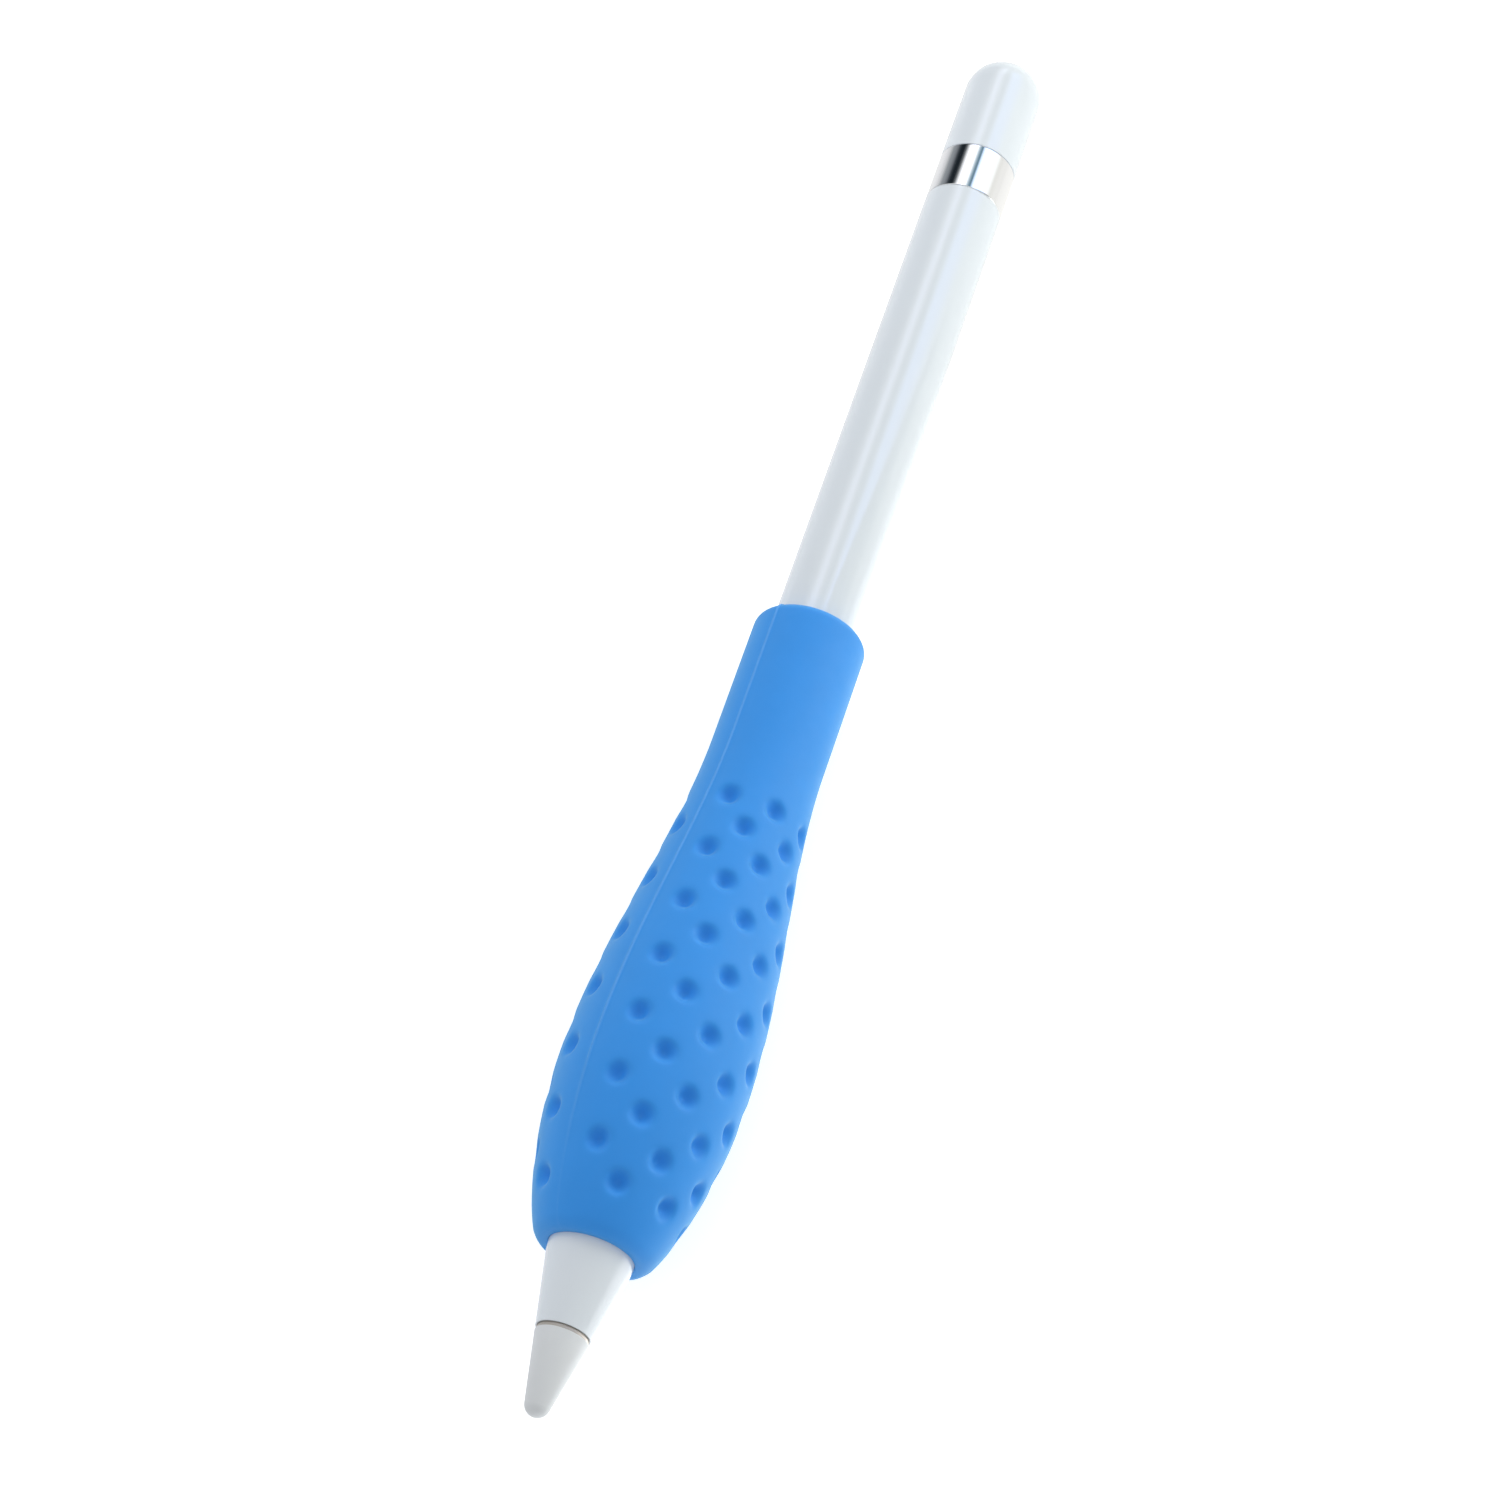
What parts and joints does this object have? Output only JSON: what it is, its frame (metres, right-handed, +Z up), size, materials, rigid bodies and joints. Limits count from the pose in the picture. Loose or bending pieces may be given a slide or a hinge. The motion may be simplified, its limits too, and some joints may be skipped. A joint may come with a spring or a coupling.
{
  "type": "stylus with grip sleeve",
  "caption": "Round stylus with a pull-off cap and screw-on nib, wearing a dimpled bulb-shaped silicone grip sleeve that slides along the barrel.",
  "frame": {"origin": "on the stylus's axis at half its overall length", "axes": "+X along the axis towards the cap, +Z up; the sleeve's dimple columns and parting lines are turned about X as in the picture"},
  "size_m": [0.1756, 0.0196, 0.0196],
  "materials": {
    "sleeve_silicone": "satin moulded silicone, blue",
    "barrel_white": "high gloss white",
    "cap_white": "high gloss white",
    "nib_grey": "fine matte light grey",
    "band_chrome": "polished",
    "ring_tan": "satin",
    "brass": "machined",
    "copper": "satin",
    "steel": "turned",
    "magnet": "nickel plated",
    "moulded_black": "fine matte",
    "moulded_natural": "fine matte",
    "board_green": "solder mask",
    "chip_black": "moulded epoxy",
    "cell_wrap": "shrink film",
    "flex_amber": "polyimide film"
  },
  "bodies": {
    "barrel": {"barrel_shell": "barrel_white", "band": "band_chrome", "shaft_bush": "moulded_natural", "tilt_ring": "copper", "front_carrier": "moulded_black", "flexure_spring": "steel", "force_sensor": "magnet", "board_carrier": "moulded_black", "logic_board": "board_green", "processor_chip": "chip_black", "motion_chip": "chip_black", "board_connector": "moulded_natural", "radio_board": "board_green", "radio_shield": "steel", "radio_chip": "chip_black", "battery_front_pad": "moulded_natural", "battery_cell": "cell_wrap", "battery_rear_pad": "moulded_natural", "flex_cable": "flex_amber", "antenna_carrier": "moulded_black", "counterweight": "steel", "plug_carrier": "moulded_black", "antenna_ring": "copper", "charge_plug": "steel", "retention_ring": "steel"},
    "sleeve": {"grip_sleeve": "sleeve_silicone"},
    "tip": {"tip_shaft": "steel", "seat_ring": "ring_tan", "pressure_disc": "steel"},
    "nib_thread": {"nib_insert": "brass"},
    "nib": {"nib_cone": "nib_grey"},
    "cap": {"cap_shell": "cap_white", "cap_magnet": "magnet", "cap_liner": "moulded_natural"}
  },
  "joints": [
    {"name": "sleeve_slide", "type": "slide", "parent": "barrel", "child": "sleeve", "axis": [1, 0, 0], "range_m": [-0.094, 0.0604]},
    {"name": "cap_pull", "type": "slide", "parent": "barrel", "child": "cap", "axis": [1, 0, 0], "range_m": [0, 0.025]},
    {"name": "nib_press", "type": "slide", "parent": "barrel", "child": "tip", "axis": [1, 0, 0], "range_m": [0, 0.0001], "stiffness_N_per_m": 800},
    {"name": "nib_travel", "type": "slide", "parent": "tip", "child": "nib_thread", "axis": [-1, 0, 0], "range_m": [0, 0.0025]},
    {"name": "nib_unscrew", "type": "hinge", "parent": "nib_thread", "child": "nib", "pos_m": [-0.07985, 0, 0], "axis": [-1, 0, 0], "range_deg": [0, 1810]}
  ],
  "couplings": [
    {"joint": "nib_unscrew", "follows": "nib_travel", "rad_per_m": 12566}
  ]
}
